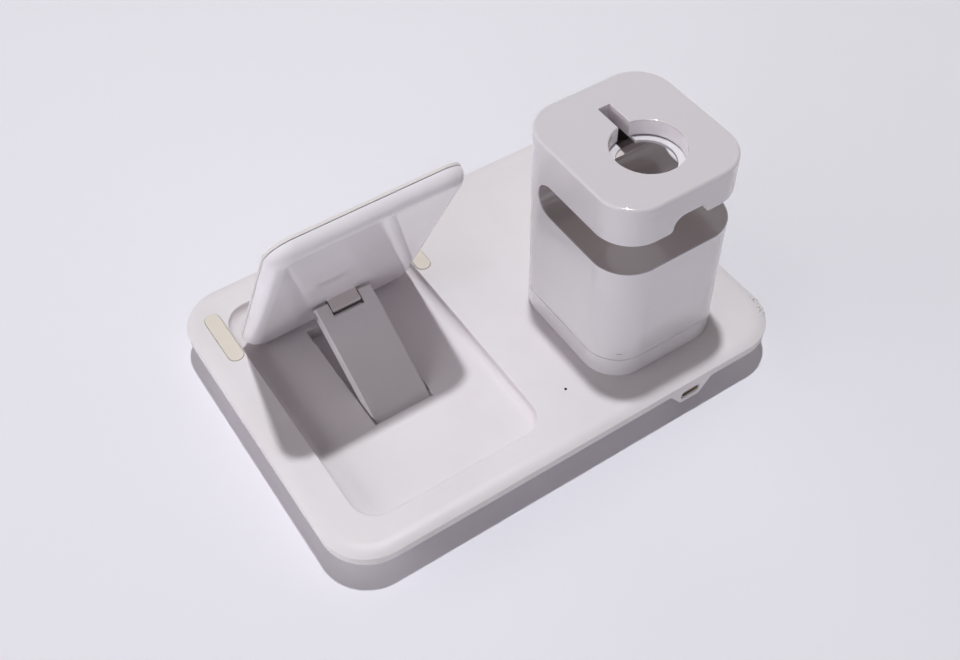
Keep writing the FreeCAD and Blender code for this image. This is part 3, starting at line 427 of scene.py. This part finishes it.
# %% [markdown]
# ## Mirror-like panel back
#
# The back of the phone panel is the glossiest face of all. The leg and its lug stand mirrored in it.
# It could have a finish of its own, but the tower's serves: without the coat, with next to no
# roughness, and made lighter until its tone was that of the photograph. That lift is painted light,
# for light that these lamps don't bring to the back. The lug that stands out of it is greyer, which
# is painted shade, and it is painted dark on its end and its sides for the same dark lines of shade
# in the gaps as on the leg.

# %% Panel back
PANEL_ROUGHNESS = 0.01
# Painted light: the back's colour is lifted for light that the lamps don't bring to it.
PANEL_PAINTED_LIGHT_LIFT = 1.23
PANEL_LEAN = math.radians(61.7)
PANEL_OUT = (0.0, -math.sin(PANEL_LEAN), -math.cos(PANEL_LEAN))
PANEL_DEPTH = 4.0 * MM
LUG_WIDTH = 13.2 * MM
LUG_END = (1.3 * MM, 1.8 * MM)
# Painted shade on the lug.
LUG_PAINTED_SHADE = (0.605, 0.55, 0.55)


def panel_painted_shade(finish, tone):
    """Painted shade: grey on the lug, which stands out of the panel's back, and dark where it faces
    the leg, for the shade in the gaps.
    """
    knee = middle_of("panel_hinge_pin")
    out = finish.along(knee, PANEL_OUT)
    across = abs(finish.place.part("X") - knee.x)
    lug = (out > WALL_SKIN - PANEL_DEPTH) * (across < LUG_WIDTH)
    sides = lug * (across > LUG_WIDTH / 2 - WALL_SKIN)
    return finish.mix(out.fade(*LUG_END).most(sides), finish.mix(lug, tone, LUG_PAINTED_SHADE), SPECK_AND_GAP_SHADE)


panel_gloss = gloss_white("gloss_white_panel", roughness=PANEL_ROUGHNESS, coat=0.0, lift=PANEL_PAINTED_LIGHT_LIFT,
                          painted_light_and_shade=panel_painted_shade)
dress(panel_gloss, "panel_back_shell")

# %% [markdown]
# ## Soft front cover
#
# The face that a phone leans on is turned away in the photograph, and only its edge shows. It is
# taken to have a soft matt coating, so that nothing slips or scratches. It needs no gloss, only a
# finer grain and more roughness than the satin.

# %% Soft coating
COVER_WHITE = (0.770, 0.730, 0.725)
COVER_DRIFT = 0.35
COVER_ROUGHNESS = 0.52
COVER_CLOUD_ROUGHNESS = 0.10
COVER_CLOUD = 30 * MM
COVER_GRAIN_SIZE = 0.25 * MM
COVER_GRAIN_DEPTH = 0.003 * MM


def soft_white():
    finish = Finish("soft_white_coating", specular_ior_level=0.35)
    cloud = finish.noise(COVER_CLOUD, detail=3.0)
    grain = finish.noise(COVER_GRAIN_SIZE)
    finish.set(base_color=finish.mix(cloud * COVER_DRIFT, COVER_WHITE, SATIN_SHADE),
               roughness=COVER_ROUGHNESS + cloud * COVER_CLOUD_ROUGHNESS,
               normal=finish.relief(grain, COVER_GRAIN_DEPTH, EDGE_ROUND))
    return finish


dress(soft_white(), "panel_front_cover")

# %% [markdown]
# ## Cream silicone pads
#
# The two strips beside the recess look like silicone, a shade yellower than the plastic. Silicone
# holds lint. A darker line runs round each strip where it meets the shell: painted shade for the
# narrow gap there. A texture could be painted for it, but the line is worked out from the strip's own
# shape: the distance from its middle line, which is a straight run with round ends.

# %% Pads
CREAM = (0.740, 0.676, 0.604)
CREAM_SHADE = (0.705, 0.642, 0.570)
CREAM_ROUGHNESS = 0.62
CREAM_GRAIN_ROUGHNESS = 0.12
CREAM_CLOUD = 6 * MM
CREAM_GRAIN_SIZE = 0.5 * MM
CREAM_GRAIN_DEPTH = 0.010 * MM
# Painted shade in the gap round each strip.
CREAM_GAP_SHADE = (0.30, 0.26, 0.22)
GAP_SHADE_WIDTH = 0.35 * MM
GAP_SHADE_STRENGTH = 0.6
LINT = (0.86, 0.84, 0.80)
LINT_SPOTS = {"spacing": 4 * MM, "radius": 0.14 * MM, "share": 0.3}
LINT_STRENGTH = 0.5


def cream_silicone(node):
    finish = Finish("cream_silicone_" + node.split("_")[0], specular_ior_level=0.3)
    low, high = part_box(node)
    middle, radius = (low + high) / 2, (high.x - low.x) / 2
    straight = (high.y - low.y) / 2 - radius
    across = finish.place.part("X") - middle.x
    past_end = (abs(finish.place.part("Y") - middle.y) - straight).most(0.0)
    from_line = finish.node("ShaderNodeCombineXYZ", {}, {"X": across, "Y": past_end}).length()
    gap_shade = from_line.fade(radius - GAP_SHADE_WIDTH, radius)
    cloud = finish.noise(CREAM_CLOUD, detail=3.0)
    lint = finish.specks(**LINT_SPOTS)
    grain = finish.noise(CREAM_GRAIN_SIZE)
    tone = finish.mix(lint * LINT_STRENGTH, finish.mix(cloud, CREAM, CREAM_SHADE), LINT)
    finish.set(base_color=finish.mix(gap_shade * GAP_SHADE_STRENGTH, tone, CREAM_GAP_SHADE),
               roughness=CREAM_ROUGHNESS + grain * CREAM_GRAIN_ROUGHNESS,
               normal=finish.relief(grain, CREAM_GRAIN_DEPTH))
    return finish


for pad in ("left_grip_pad", "right_grip_pad"):
    dress(cream_silicone(pad), pad)

# %% [markdown]
# ## Grey rubber feet
#
# Four rubber discs carry the base. They are out of sight in the photograph, so this finish is a
# guess at plain matt rubber with a coarse open grain. They are seen only from below, so a noise for
# the colour and one for the grain are enough.

# %% Feet
RUBBER_GREY = (0.30, 0.30, 0.30)
RUBBER_PALE = (0.36, 0.355, 0.35)
RUBBER_ROUGHNESS = 0.7
RUBBER_GRAIN_ROUGHNESS = 0.15
RUBBER_CLOUD = 5 * MM
RUBBER_GRAIN_SIZE = 0.6 * MM
RUBBER_GRAIN_DEPTH = 0.02 * MM


def foot_rubber():
    finish = Finish("foot_rubber", specular_ior_level=0.3)
    grain = finish.noise(RUBBER_GRAIN_SIZE, detail=3.0)
    finish.set(base_color=finish.mix(finish.noise(RUBBER_CLOUD), RUBBER_GREY, RUBBER_PALE),
               roughness=RUBBER_ROUGHNESS + grain * RUBBER_GRAIN_ROUGHNESS,
               normal=finish.relief(grain, RUBBER_GRAIN_DEPTH, EDGE_ROUND))
    return finish


dress(foot_rubber(), "rubber_feet")

# %% [markdown]
# ## Bare steel pins and screws
#
# The hinge pins and screws are hidden in the photograph and are taken to be plain steel. Pins are
# drawn wire, and drawing leaves fine lines along them. A noise stretched along X gives those lines
# without any geometry, and the screws can share it.

# %% Steel
STEEL_DARK = (0.52, 0.52, 0.53)
STEEL_LIGHT = (0.66, 0.655, 0.65)
STEEL_ROUGHNESS = 0.24
DRAWN_ROUGHNESS = 0.14
STEEL_RELIEF = 0.002 * MM
DRAWN_SIZE = 0.2 * MM
DRAWN_STRETCH = (0.05, 1.0, 1.0)


def bare_steel():
    finish = Finish("bare_steel", metallic=1.0)
    drawn = finish.noise(DRAWN_SIZE, detail=3.0, place=finish.place * DRAWN_STRETCH)
    finish.set(base_color=finish.mix(drawn, STEEL_DARK, STEEL_LIGHT),
               roughness=STEEL_ROUGHNESS + drawn * DRAWN_ROUGHNESS,
               normal=finish.relief(drawn, STEEL_RELIEF))
    return finish


dress(bare_steel(), "leg_hinge_pin", "panel_hinge_pin", "base_screws", "board_screws",
      "tower_screws", "ledge_screws")

# %% [markdown]
# ## Power socket
#
# The socket is a folded steel shell around a black tongue with a row of gilt contacts. Shell and
# tongue are one construction node, so one finish has to be three materials. Masks by place do
# that: the tongue is a thin slab about the socket's middle, and the contacts are bands across it.

# %% Socket
SOCKET_ROUGHNESS = 0.30
SOCKET_GRAIN_ROUGHNESS = 0.08
TONGUE_ROUGHNESS = 0.15
SOCKET_GRAIN = 0.3 * MM
TONGUE_WIDTH = 6.6 * MM
TONGUE_THICKNESS = 0.7 * MM
TONGUE_SKIN = 0.03 * MM
TONGUE_BLACK = (0.020, 0.019, 0.018)
CONTACT_PITCH = 0.5 * MM
CONTACT_EDGE = 0.1
GILT = (0.62, 0.40, 0.18)


def power_socket():
    finish = Finish("power_socket")
    low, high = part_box("usb_c_socket")
    middle = (low + high) / 2
    across = finish.place.part("X") - middle.x
    beside = abs(across) < TONGUE_WIDTH / 2 + TONGUE_SKIN
    level = abs(finish.place.part("Z") - middle.z) < TONGUE_THICKNESS / 2 + TONGUE_SKIN
    tongue = beside * level
    contacts = tongue * ((across * (2 * math.pi / CONTACT_PITCH)).sine() > CONTACT_EDGE)
    drawn = finish.noise(SOCKET_GRAIN, detail=3.0)
    steel = finish.mix(drawn, STEEL_DARK, STEEL_LIGHT)
    finish.set(base_color=finish.mix(contacts, finish.mix(tongue, steel, TONGUE_BLACK), GILT),
               metallic=1 - tongue + contacts,
               roughness=(SOCKET_ROUGHNESS + tongue * TONGUE_ROUGHNESS
                          + drawn * SOCKET_GRAIN_ROUGHNESS),
               normal=finish.relief(drawn, STEEL_RELIEF))
    return finish


dress(power_socket(), "usb_c_socket")

# %% [markdown]
# ## Dark lens of the status light
#
# Unlit, the light pipe is a dark pin-hole on the base. A nearly black plastic with some gloss is
# all that shows of it.

# %% Light
LENS_BLACK = (0.010, 0.010, 0.010)
LENS_GREY = (0.018, 0.017, 0.016)
LENS_ROUGHNESS = 0.2
LENS_CLOUD_ROUGHNESS = 0.1
LENS_CLOUD = 0.6 * MM


def dark_lens():
    finish = Finish("dark_lens", specular_ior_level=0.5)
    cloud = finish.noise(LENS_CLOUD)
    finish.set(base_color=finish.mix(cloud, LENS_BLACK, LENS_GREY),
               roughness=LENS_ROUGHNESS + cloud * LENS_CLOUD_ROUGHNESS)
    return finish


dress(dark_lens(), "status_light")

# %% [markdown]
# ## Charging coil
#
# Behind the panel's cover lies a flat coil of enamelled copper wire. Modelling each turn would cost
# thousands of faces that nobody sees with the cover on. A sine of the distance from the coil's
# middle draws the turns and gives them their round backs.

# %% Coil
# The copper's colour is darker between the turns and lighter on their backs: painted shade in the
# grooves and a painted highlight on the crests.
COPPER_GROOVE_SHADE = (0.36, 0.15, 0.07)
COPPER_CREST_HIGHLIGHT = (0.80, 0.40, 0.22)
COPPER_ROUGHNESS = 0.28
WIRE_ROUGHNESS = 0.1
WIRE_PITCH = 0.6 * MM
WIRE_BULGE = 0.2 * MM


def copper_winding():
    finish = Finish("copper_winding", metallic=1.0)
    low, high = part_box("phone_charging_coil")
    waves = finish.away_from((low + high) / 2) * (2 * math.pi / WIRE_PITCH)
    turns = waves.sine() * 0.5 + 0.5
    finish.set(base_color=finish.mix(turns, COPPER_GROOVE_SHADE, COPPER_CREST_HIGHLIGHT),
               roughness=COPPER_ROUGHNESS + turns * WIRE_ROUGHNESS,
               normal=finish.relief(turns, WIRE_BULGE))
    return finish


dress(copper_winding(), "phone_charging_coil")

# %% [markdown]
# ## Other inside pieces
#
# The ferrite sheet, the circuit board, its parts and the nylon washers are plain mouldings. They
# differ in colour and gloss only, so one function makes them all from a table.

# %% Inside pieces
MOULDING_CLOUD = 4 * MM
MOULDING_CLOUD_ROUGHNESS = 0.1
MOULDING_GRAIN_SIZE = 0.3 * MM
MOULDING_GRAIN_DEPTH = 0.004 * MM
INSIDE_PIECES = {
    "coil_ferrite_sheet": ("ferrite_sheet", (0.030, 0.030, 0.032), (0.050, 0.050, 0.052), 0.6),
    "main_board": ("board_green", (0.020, 0.110, 0.050), (0.030, 0.150, 0.070), 0.35),
    "board_parts": ("black_packages", (0.015, 0.015, 0.016), (0.030, 0.030, 0.030), 0.5),
    "leg_friction_washers": ("nylon", (0.62, 0.60, 0.55), (0.68, 0.66, 0.60), 0.45),
}


def plain_moulding(name, first, second, rough):
    finish = Finish(name, specular_ior_level=0.4)
    cloud = finish.noise(MOULDING_CLOUD, detail=3.0)
    finish.set(base_color=finish.mix(cloud, first, second),
               roughness=rough + cloud * MOULDING_CLOUD_ROUGHNESS,
               normal=finish.relief(finish.noise(MOULDING_GRAIN_SIZE), MOULDING_GRAIN_DEPTH))
    return finish


for node, recipe in INSIDE_PIECES.items():
    dress(plain_moulding(*recipe), node)

# %% [markdown]
# ## Table
#
# The station stands on a plain pale table, a touch bluer than the plastic. A flat plane is enough,
# with a slow cloud in its tone and its gloss, because no real table is one flat colour. No lamp
# reaches its far end, so well away from the station it fades into the glow of the pale room. Only
# what the camera sees glows: the glow is kept from the rays that light the station.

# %% Floor
FLOOR_SIDE = 8.0
FLOOR_WHITE = (0.860, 0.838, 0.893)
FLOOR_SHADE = (0.846, 0.824, 0.879)
FLOOR_ROUGHNESS = 0.7
FLOOR_CLOUD_ROUGHNESS = 0.1
FLOOR_CLOUD = 0.3
FLOOR_GLOW = (0.70, 0.69, 0.755)
FLOOR_FADE = (0.5, 1.5)
BLACK = (0.0, 0.0, 0.0)


def seen_rays(board):
    """1 for rays that the camera sees by, also in a mirror or a glass, and 0 for rays of light."""
    return sum(board.node("ShaderNodeLightPath", {}, {}, f"Is {kind} Ray")
               for kind in ("Camera", "Glossy", "Transmission"))


def floor():
    mesh = bpy.data.meshes.new("floor")
    half = FLOOR_SIDE / 2
    corners = [(-half, -half, 0), (half, -half, 0), (half, half, 0), (-half, half, 0)]
    mesh.from_pydata(corners, [], [(0, 1, 2, 3)])
    plane = bpy.data.objects.new("floor", mesh)
    bpy.context.scene.collection.objects.link(plane)
    finish = Finish("pale_table", specular_ior_level=0.2, emission_strength=1.0)
    cloud = finish.noise(FLOOR_CLOUD)
    far = finish.place.length().fade(*FLOOR_FADE)
    finish.set(base_color=finish.mix(far, finish.mix(cloud, FLOOR_WHITE, FLOOR_SHADE), BLACK),
               emission_color=finish.mix(far * seen_rays(finish), BLACK, FLOOR_GLOW),
               roughness=FLOOR_ROUGHNESS + cloud * FLOOR_CLOUD_ROUGHNESS)
    mesh.materials.append(finish.material)
    print("floor", FLOOR_SIDE, "m square")


floor()

# %% [markdown]
# ## Lamps
#
# The light comes from one lamp almost overhead, small and near enough that its shadows spread
# away from it. A sun would throw them all the same way, so a disc at the lamp's real height is
# used. Broad low panels stand for what else is bright round the table, most of all on the left.
# They light the upright faces without filling the shadows on the table, and stay out of the mirrors
# on the gloss, where the pale room stands for them. Powers and tints were fitted to the photograph.

# %% Lamps
KEY_PLACE = Vector((0.1125, 0.1354, 1.62))
KEY_DISC = 0.07
KEY_POWER = 15.7
KEY_COLOUR = (0.99, 1.02, 1.045)
PANEL_WIDTH = 3.0
PANEL_HEIGHT = 1.0
PANEL_DISTANCE = 2.0
DAYLIGHT = (1.0, 0.99, 1.03)
WALL_TINT = (1.08, 1.0, 0.93)
PANELS = {
    "left_window": (180, 20, 19.6, DAYLIGHT),
    "far_left_wall": (135, 35, 6.0, WALL_TINT),
    "near_left_wall": (225, 10, 6.1, DAYLIGHT),
    "near_right_wall": (315, 10, 5.0, WALL_TINT),
    "far_right_wall": (30, 35, 5.0, WALL_TINT),
}
LAMP_AIM = Vector((0.0, 0.0, 0.03))


def lamp(name, place, shape, width, height, power, colour):
    light = bpy.data.lights.new(name, "AREA")
    light.shape = shape
    light.size = width
    light.size_y = height
    light.energy = power
    light.color = colour
    holder = bpy.data.objects.new(name, light)
    holder.location = place
    holder.visible_glossy = shape == "DISK"
    holder.rotation_mode = "QUATERNION"
    holder.rotation_quaternion = (LAMP_AIM - place).to_track_quat("-Z", "Y")
    bpy.context.scene.collection.objects.link(holder)
    print("lamp", name, power, "W,", round((LAMP_AIM - place).length, 2), "m away")


def direction(azimuth, elevation):
    """Unit vector towards a compass angle from +X and a height angle, in degrees."""
    turn, rise = math.radians(azimuth), math.radians(elevation)
    flat = math.cos(rise)
    return Vector((math.cos(turn) * flat, math.sin(turn) * flat, math.sin(rise)))


lamp("overhead_lamp", KEY_PLACE, "DISK", KEY_DISC, KEY_DISC, KEY_POWER, KEY_COLOUR)
for name, (azimuth, elevation, power, colour) in PANELS.items():
    place = direction(azimuth, elevation) * PANEL_DISTANCE
    lamp(name, place, "RECTANGLE", PANEL_WIDTH, PANEL_HEIGHT, power, colour)

# %% [markdown]
# ## Room
#
# What is left of the room's light comes weakly from all sides, but seen directly or in a gloss the
# room is nearly white. One world does both: the kind of ray that asks chooses the answer.

# %% World
WALL_LIGHT = (1.0, 0.97, 0.95)
WALL_STRENGTH = 0.01
ROOM_SEEN = (0.76, 0.75, 0.82)

world = bpy.data.worlds.new("pale_room")
bpy.context.scene.world = world
world.use_nodes = True
room = Board(world.node_tree)
light = room.node("ShaderNodeBackground", {}, {"Color": WALL_LIGHT, "Strength": WALL_STRENGTH})
view = room.node("ShaderNodeBackground", {}, {"Color": ROOM_SEEN})
walls = room.node("ShaderNodeMixShader", {}, {0: seen_rays(room), 1: light, 2: view})
room.feed(room.tree.nodes["World Output"].inputs["Surface"], walls)
print("room", len(room.tree.nodes), "nodes")

# %% [markdown]
# ## Camera
#
# The camera stands to the left of the near side and looks down on the station. Its place, lens and
# slight roll were fitted to the edges of the base and the tower, so that the render falls on the
# photograph.

# %% Camera
CAMERA_PLACE = Vector((-0.17824, -0.28272, 0.41525))
CAMERA_AIM = Vector((0.00593, 0.00617, 0.0))
CAMERA_ROLL = -1.23
CAMERA_LENS = 45.82
CAMERA_SENSOR = 36.0

camera = bpy.data.cameras.new("camera")
camera.lens = CAMERA_LENS
camera.sensor_width = CAMERA_SENSOR
eye = bpy.data.objects.new("camera", camera)
eye.location = CAMERA_PLACE
eye.rotation_mode = "QUATERNION"
level = (CAMERA_AIM - CAMERA_PLACE).to_track_quat("-Z", "Y")
eye.rotation_quaternion = level @ Quaternion((0, 0, 1), math.radians(CAMERA_ROLL))
bpy.context.scene.collection.objects.link(eye)
bpy.context.scene.camera = eye
bpy.context.scene.view_settings.view_transform = "Standard"
print("camera", round((CAMERA_AIM - CAMERA_PLACE).length, 3), "m from its aim")

# %% [markdown]
# ## Sizes
#
# Finishes change no dimension.
